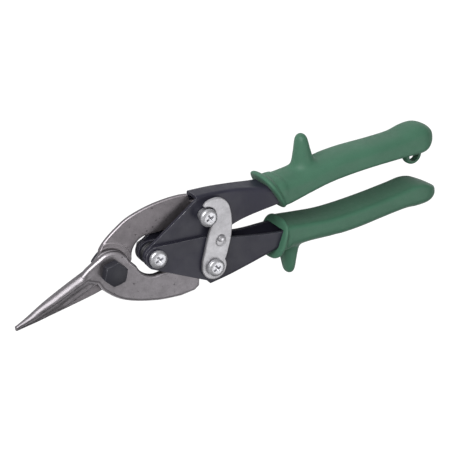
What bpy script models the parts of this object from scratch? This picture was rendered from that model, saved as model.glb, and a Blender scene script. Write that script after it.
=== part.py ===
"""Compound-lever aviation snips, lying on their far side with the fastener heads up.

Every shape is drawn in millimetres in the tool frame: the origin is on the jaw pivot, +X runs from the
jaws to the grips, +Y towards the upper handle, and +Z from the shear plane towards the fastener heads.
Each object is then placed in metres under an empty that stands on the axis it turns about.
"""

import math

import bmesh
import bpy
from mathutils import Matrix, Vector

MM = 0.001

# Overall places, from the jaw tip to the ends of the grips
TIP_X = -52.5
GRIP_END_X = 199.0
UPPER_GUARD_TIP = (116.4, 39.0)
LOWER_GUARD_TIP = (100.6, -38.6)
REST_DEPTH = 13.2

# The kite linkage: jaw pivot, handle pivot and the two tang pivots
JAW = (0.0, 0.0)
HANDLE = (23.3, 0.0)
TANG_X = 52.7
TANG_Y = 14.3
UPPER_TANG = (TANG_X, TANG_Y)
LOWER_TANG = (TANG_X, -TANG_Y)

# The tool frame's origin in the world: the whole object's box is centred and stands on z = 0
SHIFT = Vector((-(TIP_X + GRIP_END_X) / 2, -(UPPER_GUARD_TIP[1] + LOWER_GUARD_TIP[1]) / 2, REST_DEPTH))

# Layers, outwards from the shear plane
SHEAR_GAP = 0.15
LAND = 0.8
BLADE_TOP = 4.7
SHEET = 2.0
INNER_WALL = 2.7
OUTER_WALL = 5.0
HEAD_SEAT = 7.1
LATCH_BOTTOM = 7.5
LATCH_TOP = 9.5
TOP_SEAT = 9.7
FIT = 0.3

# Blade
LAND_RADIUS = 11.2
LAND_SHRINK = 0.97
THROAT_RADIUS = 10.4
TANG_RADIUS = 6.5
JAW_BORE = 3.45
FAR_JAW_BORE = 3.8

# Channel handles
EAR_RADIUS = 6.2
PIN_BORE = 2.8
FLARE_START = 69.0
FLARE_END = 97.0
CHANNEL_END = 187.0
CHANNEL_HALF_WIDTH = 9.2

# Latch
THUMB_DISH = (58.2, -1.2)

# Fasteners
HEX_FLATS = 11.1
HEX_HEAD = 5.0
BOLT_RADIUS = 3.15
SCREW_RADIUS = 2.5
PAN_RADIUS = 4.75
PAN_HEIGHT = 2.8
JAW_NUT_LOW = -10.2
JAW_NUT_SEAT = -BLADE_TOP - 1.8
THREAD_END = -10.6
DOG_POINT = 2.0
NUT_FLATS = 8.0
NUT_HEIGHT = 4.0
NUT_SHOWS = 0.8

# Torsion spring
WIRE = 0.8
COIL_RADIUS = 5.2
COIL_STEPS = 40
LEG_LEVEL = 1.45
LEG_ANGLE = 43.0
LEG_LENGTH = 33.0


def clear_scene():
    for obj in list(bpy.data.objects):
        bpy.data.objects.remove(obj, do_unlink=True)


def material(name, colour, roughness, metallic):
    made = bpy.data.materials.new(name)
    made.use_nodes = True
    shader = made.node_tree.nodes["Principled BSDF"]
    shader.inputs["Base Color"].default_value = (*colour, 1.0)
    shader.inputs["Roughness"].default_value = roughness
    shader.inputs["Metallic"].default_value = metallic
    return made


def pivot(name, place):
    """An empty on a joint's axis, standing at the shear plane."""
    empty = bpy.data.objects.new(name, None)
    empty.location = (Vector((*place, 0.0)) + SHIFT) * MM
    bpy.context.scene.collection.objects.link(empty)
    return empty


def arc(centre, radius, start, end, steps):
    """Points on an arc, both ends included, with angles in degrees."""
    angles = [math.radians(start + (end - start) * i / steps) for i in range(steps + 1)]
    return [(centre[0] + radius * math.cos(a), centre[1] + radius * math.sin(a)) for a in angles]


def smooth_curve(points, steps):
    """A Catmull-Rom curve through the points, with steps pieces between each pair."""
    ends = [points[0], *points, points[-1]]
    curve = []
    for i in range(1, len(ends) - 2):
        p0, p1, p2, p3 = (Vector(ends[i + k]) for k in (-1, 0, 1, 2))
        for s in range(steps):
            t = s / steps
            line = 2 * p1 + (p2 - p0) * t + (2 * p0 - 5 * p1 + 4 * p2 - p3) * t * t
            curve.append(tuple((line + (3 * p1 - p0 - 3 * p2 + p3) * t**3) / 2))
    curve.append(tuple(points[-1]))
    return curve


def at(table, x):
    """The value at x of a table of (x, value) pairs, eased between them."""
    if x <= table[0][0]:
        return table[0][1]
    for (x0, v0), (x1, v1) in zip(table, table[1:]):
        if x <= x1:
            t = (x - x0) / (x1 - x0)
            return v0 + (v1 - v0) * t * t * (3 - 2 * t)
    return table[-1][1]


def solid(bm):
    """A mesh of the closed shape in bm, with its faces pointing out."""
    bmesh.ops.remove_doubles(bm, verts=bm.verts, dist=1e-5)
    bmesh.ops.recalc_face_normals(bm, faces=bm.faces)
    if bm.calc_volume(signed=True) < 0:
        bmesh.ops.reverse_faces(bm, faces=bm.faces)
    mesh = bpy.data.meshes.new("shape")
    bm.to_mesh(mesh)
    bm.free()
    return mesh


def loft(rings):
    """A solid through closed rings of equal length, with a flat cap at each end."""
    bm = bmesh.new()
    made = [[bm.verts.new(p) for p in ring] for ring in rings]
    count = len(made[0])
    for low, high in zip(made, made[1:]):
        for i in range(count):
            j = (i + 1) % count
            bm.faces.new((low[i], low[j], high[j], high[i]))
    bm.faces.new(made[0])
    bm.faces.new(made[-1])
    return solid(bm)


def prism(outline, low, high):
    return loft([[(x, y, z) for x, y in outline] for z in (low, high)])


def plate(outline, low, high, edge):
    """A prism with its two rims chamfered by drawing the outline in towards its inside."""
    bm = bmesh.new()
    face = bm.faces.new([bm.verts.new((x, y, low)) for x, y in outline])
    pushed = bmesh.ops.extrude_face_region(bm, geom=[face])
    top = [v for v in pushed["geom"] if isinstance(v, bmesh.types.BMVert)]
    bmesh.ops.translate(bm, verts=top, vec=(0, 0, high - low))
    rims = [e for e in bm.edges if abs(e.verts[0].co.z - e.verts[1].co.z) < 1e-6]
    bmesh.ops.bevel(bm, geom=rims, offset=edge, segments=1, affect="EDGES", clamp_overlap=True)
    return solid(bm)


def turned(profile, place=(0.0, 0.0), segments=24):
    """A solid turned about a Z axis at place from (radius, z) points; radius 0 closes on the axis."""
    bm = bmesh.new()
    rings = []
    for radius, z in profile:
        if radius == 0:
            rings.append([bm.verts.new((place[0], place[1], z))] * segments)
            continue
        turn = arc(place, radius, 0, 360, segments)[:-1]
        rings.append([bm.verts.new((x, y, z)) for x, y in turn])
    closed = profile[0][0] > 0
    pairs = list(zip(rings, rings[1:] + rings[:1])) if closed else list(zip(rings, rings[1:]))
    for low, high in pairs:
        for i in range(segments):
            j = (i + 1) % segments
            corners = list(dict.fromkeys((low[i], low[j], high[j], high[i])))
            bm.faces.new(corners)
    return solid(bm)


def tube(outer, inner, low, high, place, segments=24):
    return turned([(inner, low), (outer, low), (outer, high), (inner, high)], place, segments)


def rod(radius, low, high, place, segments=24):
    return turned([(0, low), (radius, low), (radius, high), (0, high)], place, segments)


def hexagon(place, flats, turn):
    return arc(place, flats / math.sqrt(3), turn, turn + 360, 6)[:-1]


def combined(operation, mesh, *others):
    """The union, difference or intersection of a mesh with others, as a new mesh."""
    body = bpy.data.objects.new("body", mesh)
    bpy.context.scene.collection.objects.link(body)
    tools = []
    for other in others:
        tool = bpy.data.objects.new("tool", other)
        tool.hide_render = True
        tool.display_type = "WIRE"
        bpy.context.scene.collection.objects.link(tool)
        modifier = body.modifiers.new("cut", "BOOLEAN")
        modifier.operation = operation
        modifier.solver = "EXACT"
        modifier.object = tool
        tools.append(tool)
    bpy.context.view_layer.update()
    made = bpy.data.meshes.new_from_object(body.evaluated_get(bpy.context.evaluated_depsgraph_get()))
    for obj in [body, *tools]:
        bpy.data.objects.remove(obj, do_unlink=True)
    bm = bmesh.new()
    bm.from_mesh(made)
    bmesh.ops.dissolve_degenerate(bm, dist=1e-4, edges=bm.edges)
    bmesh.ops.dissolve_limit(bm, angle_limit=math.radians(0.2), verts=bm.verts, edges=bm.edges)
    bmesh.ops.triangulate(bm, faces=bm.faces)
    return solid(bm)


def place(name, mesh, parent, finish):
    """The named object made from a mesh in tool millimetres, under the empty of its joint."""
    mesh.name = name
    mesh.transform(Matrix.Scale(MM, 4) @ Matrix.Translation(SHIFT))
    mesh.transform(Matrix.Translation(-parent.location))
    mesh.materials.clear()
    mesh.materials.append(finish)
    mesh.shade_smooth()
    mesh.set_sharp_from_angle(angle=math.radians(35))
    obj = bpy.data.objects.new(name, mesh)
    obj.parent = parent
    bpy.context.scene.collection.objects.link(obj)
    return obj


# Blades


def near_outline():
    """The near blade seen from the fastener side: pivot end, throat round the handle pivot, and tang."""
    outer = [(33.8, -27.0), (22.4, -25.2), (11.4, -21.8), (3.6, -18.2), (-2.0, -14.0), (-7.2, -8.2)]
    outline = [(-8.6, -4.6), (-14.5, -2.5), (-14.5, 5.6), (-9.7, 7.9), (-5.6, 8.7)]
    outline += arc(JAW, 10.0, 116, 22, 10)
    outline += arc(HANDLE, THROAT_RADIUS, 182, 262, 9)
    outline += arc(LOWER_TANG, TANG_RADIUS, 125, -90, 14)
    outline += [(46.6, -20.8), (45.6, -21.4), (45.0, -24.8), (42.0, -26.6)]
    return outline + smooth_curve(outer, 3)


def far_outline():
    """The far blade seen from the fastener side. Its heel runs up to the front of the upper handle's back."""
    outer = [(44.3, 25.6), (38.0, 25.9), (30.4, 25.6), (23.6, 24.7), (17.3, 23.3), (12.6, 21.7), (8.0, 19.2)]
    outer += [(3.6, 16.5), (-0.6, 13.3), (-3.1, 10.6)]
    outline = [(-6.0, 4.1), (-9.5, 0.0), (-14.5, -2.9), (-14.5, -5.6), (-9.7, -7.9), (-5.6, -8.7)]
    outline += arc(JAW, 10.0, -116, -22, 10)
    outline += arc(HANDLE, THROAT_RADIUS, 178, 98, 9)
    outline += arc(UPPER_TANG, TANG_RADIUS, -125, 90, 14)
    outline += [(49.8, 20.8), (48.8, 21.4), (48.2, 24.9)]
    return outline + smooth_curve(outer, 3)


# Jaw section from the spine to the cutting edge: how far down it each point is, and how high
JAW_SECTION = [(0.0, 0.35), (0.0, 0.75), (0.04, 0.93), (0.12, 1.0), (0.22, 0.93), (0.34, 0.68), (0.48, 0.5)]
JAW_SECTION += [(0.62, 0.44), (0.82, 0.42), (1.0, 0.38)]
JAW_SPINE = [(-6.5, 5.2), (-13.6, 3.5), (-25.1, -0.8), (-36.6, -5.6), (-46.0, -10.3), (TIP_X, -13.2)]
NEAR_EDGE = [(-8.5, -5.2), (-13.3, -7.5), (-21.1, -10.1), (-28.4, -12.4), (-40.0, -14.4), (TIP_X, -15.9)]
FAR_EDGE = [(-6.1, 1.0), (-13.0, -2.2), (-21.0, -6.0), (-30.0, -9.4), (-40.0, -12.0), (TIP_X, -13.6)]
FAR_SPINE = [(-3.0, -9.6), (-9.0, -11.1), (-20.0, -12.7), (-32.0, -14.2), (-42.0, -15.3), (TIP_X, -16.2)]
JAW_DEPTH = [(-TIP_X, 1.9), (40.0, 3.4), (28.0, 5.2), (14.0, 5.7), (6.0, 5.0)]


def jaw(spine, edge, side, stations):
    """A forged jaw lofted from root to tip; side is +1 above the shear plane and -1 below it."""
    rings = []
    spine_line = smooth_curve(spine, stations)
    edge_line = smooth_curve(edge, stations)
    depths = [(-d, h) for d, h in JAW_DEPTH]
    for top, low in zip(spine_line, edge_line):
        depth = at(depths, (top[0] + low[0]) / 2)
        back = [(low[0], low[1], side * SHEAR_GAP), (top[0], top[1], side * SHEAR_GAP)]
        front = []
        for down, high in JAW_SECTION:
            x = top[0] + (low[0] - top[0]) * down
            y = top[1] + (low[1] - top[1]) * down
            front.append((x, y, side * (SHEAR_GAP + depth * high)))
        rings.append(back + front)
    return loft(rings)


def near_blade():
    body = plate(near_outline(), LAND, BLADE_TOP, 0.5)
    land = turned([(0, SHEAR_GAP), (10.3, SHEAR_GAP), (10.3, LAND + 1), (0, LAND + 1)], JAW, 32)
    made = combined("UNION", body, jaw(JAW_SPINE, NEAR_EDGE, 1, 3), land)
    bores = [rod(JAW_BORE, -2, 8, JAW), rod(PIN_BORE, -2, 8, LOWER_TANG)]
    return combined("DIFFERENCE", made, *bores)


def far_blade():
    body = plate(far_outline(), -BLADE_TOP, -LAND, 0.5)
    land_profile = [(0, -LAND - 1), (LAND_RADIUS, -LAND - 1), (LAND_RADIUS, -SHEAR_GAP), (0, -SHEAR_GAP)]
    inside = [(x * LAND_SHRINK, y * LAND_SHRINK) for x, y in far_outline()]
    land = combined("INTERSECT", turned(land_profile, JAW, 32), prism(inside, -LAND - 2, 1))
    web = prism([(-16, -10.5), (-4, -9.2), (8, -4), (8, 4), (-4, 6.0), (-13, -2.8)], -BLADE_TOP, -LAND)
    made = combined("UNION", body, jaw(FAR_SPINE, FAR_EDGE, -1, 3), land, web)
    bores = [rod(FAR_JAW_BORE, -8, 2, JAW), rod(PIN_BORE, -8, 2, UPPER_TANG)]
    return combined("DIFFERENCE", made, *bores)


# Handles

BACK_EDGE = [(50.4, 24.9), (62.0, 23.8), (75.0, 21.7), (89.0, 18.9), (100.0, 18.2), (112.0, 18.8)]
BACK_EDGE += [(126.0, 20.4), (142.0, 21.2), (160.0, 20.6), (175.0, 20.2), (CHANNEL_END, 20.2)]
OPEN_EDGE = [(CHANNEL_END, 12.4), (175.0, 11.9), (160.0, 12.4), (142.0, 12.8), (128.0, 12.2), (112.0, 10.2)]
OPEN_EDGE += [(96.0, 8.6), (80.0, 6.0), (66.0, 2.6), (50.0, -2.9)]
NEAR_WALL = [(FLARE_START, INNER_WALL + SHEET), (FLARE_END, CHANNEL_HALF_WIDTH), (CHANNEL_END, 8.2)]
FAR_WALL = [(FLARE_START, -OUTER_WALL - SHEET), (FLARE_END, -CHANNEL_HALF_WIDTH), (CHANNEL_END, -8.2)]
CORNERS = [(FLARE_START, 1.8), (FLARE_END, 3.4)]


def channel_profile():
    """The side of a stamped channel: round ear, slanted front edge, back, and open lower edge."""
    outline = smooth_curve(OPEN_EDGE, 2)
    outline += arc(HANDLE, EAR_RADIUS, -84, -232, 14)
    outline += [(50.2, 22.9), BACK_EDGE[0]]
    return outline + smooth_curve(BACK_EDGE, 2)[1:]


def channel_hull(inset, overrun):
    """The channel's outer form, or with an inset its hollow, lofted along the back edge."""
    rings = []
    stations = [(HANDLE[0] - 10.0, 24.9), *smooth_curve(BACK_EDGE, 2), (CHANNEL_END + overrun, 20.2)]
    for x, back in stations:
        radius = max(at(CORNERS, x) - inset, 0.3)
        high = at(NEAR_WALL, x) - inset
        low = at(FAR_WALL, x) + inset
        top = back - inset
        ring = [(-12.0 - inset, low), (-12.0 - inset, high)]
        ring += [(top - radius + b, high - radius + a) for a, b in arc((0, 0), radius, 0, 90, 4)]
        ring += [(top - radius + b, low + radius + a) for a, b in arc((0, 0), radius, 90, 180, 4)]
        rings.append([(x, y, z) for y, z in ring])
    return loft(rings)


def channel():
    """The upper handle: a sheet channel with its back outwards."""
    shell = combined("DIFFERENCE", channel_hull(0.0, 1.0), channel_hull(SHEET, 2.0))
    cut = combined("INTERSECT", shell, prism(channel_profile(), -20, 20))
    bores = [rod(PIN_BORE, -20, 20, HANDLE), rod(PIN_BORE, -20, 20, UPPER_TANG)]
    return combined("DIFFERENCE", cut, *bores)


def turned_over(mesh):
    """The same stamping turned over about the tool's long axis."""
    mesh.transform(Matrix.Rotation(math.pi, 4, "X"))
    return mesh


# Grips

GRIP_BACK = [(93.0, 20.9), (100.0, 20.7), (112.0, 21.3), (126.0, 22.9), (142.0, 23.6), (160.0, 22.9)]
GRIP_BACK += [(175.0, 22.8), (183.0, 24.2), (189.0, 24.4), (193.6, 23.2), (197.0, 20.0), (GRIP_END_X, 16.0)]
GRIP_INNER = [(93.0, 6.0), (100.0, 6.4), (112.0, 8.0), (126.0, 9.9), (142.0, 10.4), (160.0, 10.0)]
GRIP_INNER += [(175.0, 9.2), (183.0, 8.6), (189.0, 8.6), (194.0, 9.4), (197.6, 11.4), (GRIP_END_X, 13.6)]
GRIP_SIDE = [(93.0, 11.6), (112.0, 11.4), (142.0, 11.0), (175.0, 10.4), (188.0, 10.2), (194.0, 8.8)]
GRIP_SIDE += [(197.6, 5.6), (GRIP_END_X, 1.2)]
GRIP_LEAN = 0.45
FLANGE_SIZE = (10.4, REST_DEPTH)


def rounded_ring(centre, size, power, count):
    """A ring of (y, z) points on a superellipse."""
    ring = []
    for i in range(count):
        angle = 2 * math.pi * (i + 0.5) / count
        c, s = math.cos(angle), math.sin(angle)
        y = centre + size[0] * math.copysign(abs(c) ** (2 / power), c)
        ring.append((y, size[1] * math.copysign(abs(s) ** (2 / power), s)))
    return ring


def leaned(x, y, middle, start):
    """Grip sections near the flange lean with it, and stand square further back."""
    fade = max(0.0, 1.0 - (x - start) / 18.0)
    return x - GRIP_LEAN * (y - middle) * fade


def grip_body(count):
    backs = smooth_curve(GRIP_BACK, 2)
    inners = smooth_curve(GRIP_INNER, 2)
    rings = []
    for (x, back), (_, inner) in zip(backs, inners):
        middle = (back + inner) / 2
        size = ((back - inner) / 2, at(GRIP_SIDE, x))
        ring = rounded_ring(middle, size, 3.0, count)
        rings.append([(leaned(x, y, middle, 93.0), y, z) for y, z in ring])
    return loft(rings)


def flange(count):
    """The rolled stop at the front of the grip."""
    rings = []
    middle = 13.9
    for x, grow in [(92.4, 0.82), (92.8, 0.94), (93.7, 1.0), (94.9, 1.0), (95.8, 0.94), (96.4, 0.82)]:
        ring = rounded_ring(middle, (FLANGE_SIZE[0] * grow, FLANGE_SIZE[1] * grow), 2.6, count)
        rings.append([(leaned(x, y, middle, 93.0), y, z) for y, z in ring])
    return loft(rings)


def grip_hollow():
    """The space the channel fills, a little larger all round and open at the front."""
    rings = []
    inners = list(reversed(smooth_curve(OPEN_EDGE, 2)))
    for x, back in [(74.0, 22.0), *smooth_curve(BACK_EDGE, 2)[6:], (CHANNEL_END + 0.5, 20.2)]:
        inner = min(inners, key=lambda p: abs(p[0] - x))[1] if x > 80 else 5.0
        high = at(NEAR_WALL, x) + FIT
        low = at(FAR_WALL, x) - FIT
        ring = [(inner - 0.6, low), (inner - 0.6, high)]
        top = back + FIT
        radius = at(CORNERS, x)
        ring += [(top - radius + b, high - radius + a) for a, b in arc((0, 0), radius, 0, 90, 4)]
        ring += [(top - radius + b, low + radius + a) for a, b in arc((0, 0), radius, 90, 180, 4)]
        rings.append([(x, y, z) for y, z in ring])
    return loft(rings)


def guard(tip, base, base_length, count):
    """The finger guard: a flat lobe from the grip's back to a round tip."""
    rings = []
    root = 15.0
    steps = [(0.0, 0.92, 7.6), (0.25, 0.84, 6.8), (0.45, 0.68, 5.9), (0.62, 0.53, 5.2), (0.8, 0.44, 4.5)]
    steps += [(0.9, 0.38, 3.8), (0.965, 0.26, 2.7), (1.0, 0.09, 1.0)]
    for up, length, depth in steps:
        x = base + (tip[0] - base) * min(1.0, up * 1.15)
        y = root + (abs(tip[1]) - root) * up
        ring = arc((0, 0), 1.0, 0, 360, count)[:-1]
        rings.append([(x + a * base_length * length, y, b * depth) for a, b in ring])
    return loft(rings)


def loop_tab():
    """The lanyard loop on the inner side of one grip, and the hole through it."""
    centre = (186.8, 6.6)
    outer = turned([(0, -2.2), (5.2, -2.2), (6.0, -1.2), (6.0, 1.2), (5.2, 2.2), (0, 2.2)], centre, 24)
    return outer, rod(3.1, -9, 9, (centre[0], centre[1] - 1.0), 24)


def upper_grip():
    outer, hole = loop_tab()
    solid_grip = combined("UNION", grip_body(24), flange(24), guard(UPPER_GUARD_TIP, 115.6, 8.4, 16), outer)
    return combined("DIFFERENCE", solid_grip, grip_hollow(), hole)


def lower_grip():
    solid_grip = combined("UNION", grip_body(24), flange(24), guard(LOWER_GUARD_TIP, 102.4, 8.0, 16))
    return turned_over(combined("DIFFERENCE", solid_grip, grip_hollow()))


# Fasteners


def hex_solid(flats, turn, low, high, centre, chamfer_top, chamfer_bottom):
    """A hexagonal prism with its corners turned off by a chamfer at one or both ends."""
    reach = flats / math.sqrt(3)
    cut = 0.42 * (reach - flats / 2) / 0.577
    bottom = cut if chamfer_bottom else 0.0
    top = cut if chamfer_top else 0.0
    profile = [(0, low), (reach + 0.05 - bottom * 1.7, low), (reach + 0.05, low + bottom)]
    profile += [(reach + 0.05, high - top), (reach + 0.05 - top * 1.7, high), (0, high)]
    profile = list(dict.fromkeys(profile))
    round_bar = turned(profile, centre, 36)
    return combined("INTERSECT", prism(hexagon(centre, flats, turn), low, high), round_bar)


def jaw_bolt():
    """Hex head, plain shank and a narrow dog point that the tool rests on."""
    head = hex_solid(HEX_FLATS, 69.0, OUTER_WALL, OUTER_WALL + HEX_HEAD, JAW, True, False)
    profile = [(0, -REST_DEPTH), (DOG_POINT - 0.3, -REST_DEPTH), (DOG_POINT, 0.3 - REST_DEPTH)]
    profile += [(DOG_POINT, THREAD_END - 0.6), (BOLT_RADIUS, THREAD_END)]
    profile += [(BOLT_RADIUS, OUTER_WALL + 1), (0, OUTER_WALL + 1)]
    return combined("UNION", head, turned(profile, JAW, 28))


def nut(flats, turn, low, high, centre, bore):
    body = hex_solid(flats, turn, low, high, centre, True, True)
    return combined("DIFFERENCE", body, rod(bore, low - 1, high + 1, centre))


def cross_recess(centre, top):
    """The tapered cross for the driver."""
    turn = math.radians(18)
    wings = []
    for quarter in (0, math.pi / 2):
        rings = []
        for z, long, wide in [(top - 1.7, 0.5, 0.35), (top + 0.3, 2.5, 0.62)]:
            corners = [(-long, -wide), (long, -wide), (long, wide), (-long, wide)]
            spun = [Matrix.Rotation(turn + quarter, 2) @ Vector(c) for c in corners]
            rings.append([(centre[0] + p.x, centre[1] + p.y, z) for p in spun])
        wings.append(loft(rings))
    return wings


def pan_screw(centre, seat, end):
    """A pan-head screw from its seat down to its end."""
    rim = seat + 0.9
    turns = [math.radians(15 * i) for i in range(6)]
    crown = [(PAN_RADIUS * math.cos(a), rim + (PAN_HEIGHT - 0.9) * math.sin(a)) for a in turns]
    profile = [(0, end), (SCREW_RADIUS - 0.5, end), (SCREW_RADIUS, end + 0.5), (SCREW_RADIUS, seat)]
    profile += [(PAN_RADIUS - 0.3, seat), (PAN_RADIUS, seat + 0.3), *crown, (0, seat + PAN_HEIGHT)]
    return combined("DIFFERENCE", turned(profile, centre, 24), *cross_recess(centre, seat + PAN_HEIGHT))


# Latch


def latch():
    """A flat hook that turns on the lower tang screw and closes round the collar of the upper one."""
    hook = [(60.0, 21.6), (65.0, 15.5), (66.5, 8.5), (65.2, 1.7), (62.8, -4.9), (60.0, -11.0)]
    outline = arc(LOWER_TANG, 7.0, 20, -180, 12)
    outline += [(46.6, -9.6), (48.6, -4.6), (50.9, 1.2), (53.2, 6.4)]
    outline += arc(UPPER_TANG, 5.1, -62, 96, 12)
    outline += [(51.4, 20.3), (53.6, 22.3), (56.8, 22.9)]
    outline += smooth_curve(hook, 2)
    body = plate(outline, LATCH_BOTTOM, LATCH_TOP, 0.25)
    top = LATCH_TOP
    dish = turned([(0, top - 0.9), (1.4, top - 0.7), (2.9, top + 0.2), (0, top + 0.2)], THUMB_DISH, 20)
    return combined("DIFFERENCE", body, rod(PIN_BORE, 0, 12, LOWER_TANG), dish)


# Spring


def spring_path():
    """Centre line of the wire: lower leg, coil round the bush, upper leg, each leg leaving on a tangent."""
    sweep = 720.0 - 2 * LEG_ANGLE
    coil = []
    for i in range(COIL_STEPS + 1):
        angle = math.radians(LEG_ANGLE + sweep * i / COIL_STEPS)
        level = LEG_LEVEL * (2 * i / COIL_STEPS - 1)
        coil.append(Vector((HANDLE[0] + COIL_RADIUS * math.cos(angle), COIL_RADIUS * math.sin(angle), level)))
    slope = math.radians(90 - LEG_ANGLE)
    reach = Vector((LEG_LENGTH * math.cos(slope), LEG_LENGTH * math.sin(slope), 0))
    low_end = coil[0] + Vector((reach.x, -reach.y, 0))
    high_end = coil[-1] + reach
    low_leg = [low_end.lerp(coil[0], t) for t in (0, 0.33, 0.66)]
    high_leg = [coil[-1].lerp(high_end, t) for t in (0.33, 0.66, 1)]
    return low_leg + coil + high_leg


def wire(path, radius, sides):
    """A round bar swept along the path."""
    rings = []
    side = Vector((0, 0, 1))
    for i, point in enumerate(path):
        ahead = path[min(i + 1, len(path) - 1)] - path[max(i - 1, 0)]
        ahead.normalize()
        across = ahead.cross(side).normalized()
        up = across.cross(ahead)
        ring = arc((0, 0), radius, 0, 360, sides)[:-1]
        rings.append([tuple(point + across * a + up * b) for a, b in ring])
    return loft(rings)


def build():
    clear_scene()
    steel = material("blade_steel", (0.26, 0.24, 0.25), 0.42, 1.0)
    black = material("black_paint", (0.052, 0.050, 0.062), 0.38, 0.0)
    dark_bolt = material("black_oxide", (0.060, 0.060, 0.068), 0.45, 0.6)
    zinc = material("zinc_plate", (0.72, 0.72, 0.74), 0.25, 1.0)
    latch_steel = material("latch_steel", (0.56, 0.55, 0.58), 0.5, 0.9)
    spring_steel = material("spring_steel", (0.20, 0.20, 0.21), 0.35, 1.0)
    vinyl = material("green_vinyl", (0.085, 0.190, 0.125), 0.5, 0.0)

    on_lower = pivot("lower_handle_pivot", HANDLE)
    on_upper = pivot("upper_handle_pivot", HANDLE)
    on_near = pivot("near_blade_pivot", LOWER_TANG)
    on_far = pivot("far_blade_pivot", UPPER_TANG)
    on_latch = pivot("latch_pivot", LOWER_TANG)

    place("near_blade", near_blade(), on_near, steel)
    place("far_blade", far_blade(), on_far, steel)
    place("jaw_bolt", jaw_bolt(), on_near, dark_bolt)
    place("jaw_washer", tube(6.6, 3.45, -BLADE_TOP - 1.5, -BLADE_TOP - FIT, JAW, 28), on_near, zinc)
    place("jaw_nut", nut(HEX_FLATS, 40.0, JAW_NUT_LOW, JAW_NUT_SEAT, JAW, 3.45), on_near, dark_bolt)

    place("upper_handle", channel(), on_upper, black)
    place("lower_handle", turned_over(channel()), on_lower, black)
    place("upper_grip", upper_grip(), on_upper, vinyl)
    place("lower_grip", lower_grip(), on_lower, vinyl)

    seat = -OUTER_WALL - SHEET - FIT
    end = seat - NUT_HEIGHT - NUT_SHOWS
    place("handle_pivot_screw", pan_screw(HANDLE, HEAD_SEAT + 0.2, end), on_lower, zinc)
    place("handle_pivot_nut", nut(NUT_FLATS, 12.0, seat - NUT_HEIGHT, seat, HANDLE, PIN_BORE), on_lower, zinc)
    place("spring_bush", tube(4.0, PIN_BORE, -2.4, 2.4, HANDLE), on_lower, zinc)
    place("torsion_spring", wire(spring_path(), WIRE, 8), on_lower, spring_steel)

    collar = tube(3.4, PIN_BORE, INNER_WALL + SHEET + FIT, TOP_SEAT - 0.1, UPPER_TANG)
    place("upper_tang_screw", pan_screw(UPPER_TANG, TOP_SEAT + 0.2, end), on_upper, zinc)
    upper_nut = nut(NUT_FLATS, 25.0, seat - NUT_HEIGHT, seat, UPPER_TANG, PIN_BORE)
    place("upper_tang_nut", upper_nut, on_upper, zinc)
    place("upper_tang_spacer", tube(5.2, PIN_BORE, SHEAR_GAP, 2.4, UPPER_TANG), on_upper, zinc)
    place("latch_collar", collar, on_upper, zinc)

    seat = -INNER_WALL - SHEET - FIT
    end = seat - NUT_HEIGHT - NUT_SHOWS
    place("lower_tang_screw", pan_screw(LOWER_TANG, TOP_SEAT + 0.2, end), on_lower, zinc)
    lower_nut = nut(NUT_FLATS, 50.0, seat - NUT_HEIGHT, seat, LOWER_TANG, PIN_BORE)
    place("lower_tang_nut", lower_nut, on_lower, zinc)
    place("lower_tang_spacer", tube(5.2, PIN_BORE, -2.4, -SHEAR_GAP, LOWER_TANG), on_lower, zinc)
    place("latch_plate", latch(), on_latch, latch_steel)


build()
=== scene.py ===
"""The finished aviation snips: fine surfaces, materials, floor, light and camera round the CAD frame."""

import math

import bmesh
import bpy
import numpy as np
from mathutils import Matrix, Vector


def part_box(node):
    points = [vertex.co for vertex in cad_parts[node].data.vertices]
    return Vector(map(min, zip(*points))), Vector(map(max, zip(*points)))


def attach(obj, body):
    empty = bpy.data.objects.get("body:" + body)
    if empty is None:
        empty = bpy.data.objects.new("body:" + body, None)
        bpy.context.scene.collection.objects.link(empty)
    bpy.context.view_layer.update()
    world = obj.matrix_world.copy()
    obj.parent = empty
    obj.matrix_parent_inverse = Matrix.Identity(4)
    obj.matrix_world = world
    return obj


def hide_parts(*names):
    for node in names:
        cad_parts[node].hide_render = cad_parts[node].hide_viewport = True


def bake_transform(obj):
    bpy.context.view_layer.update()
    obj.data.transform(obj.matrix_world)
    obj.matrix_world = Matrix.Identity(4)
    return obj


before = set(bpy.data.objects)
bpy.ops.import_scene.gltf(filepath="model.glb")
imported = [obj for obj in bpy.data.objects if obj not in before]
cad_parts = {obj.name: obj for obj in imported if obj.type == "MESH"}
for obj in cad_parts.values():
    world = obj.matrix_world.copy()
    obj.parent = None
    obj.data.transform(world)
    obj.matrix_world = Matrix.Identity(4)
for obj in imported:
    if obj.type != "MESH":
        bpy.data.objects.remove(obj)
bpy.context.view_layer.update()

MM = 0.001

# Places in the tool frame, in millimetres: the origin is on the jaw pivot in the shear plane
JAW = (0.0, 0.0)
HANDLE = (23.3, 0.0)
UPPER_TANG = (52.7, 14.3)
LOWER_TANG = (52.7, -14.3)
TIP_X = -52.5
CHANNEL_END = 187.0
GRIP_END_X = 199.0
UPPER_GUARD_TIP = (116.4, 39.0)
LOWER_GUARD_TIP = (100.6, -38.6)

# Layers, outwards from the shear plane, and the depth to the surface that the tool rests on
SHEAR_GAP = 0.15
LAND = 0.8
BLADE_TOP = 4.7
SHEET = 2.0
INNER_WALL = 2.7
OUTER_WALL = 5.0
HEAD_SEAT = 7.1
LATCH_BOTTOM = 7.5
LATCH_TOP = 9.5
TOP_SEAT = 9.7
REST_DEPTH = 13.2
FIT = 0.3

# Radii in the blades and handles
BOSS = 10.0
THROAT = 10.4
TANG_EYE = 6.5
EAR = 6.2

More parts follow.
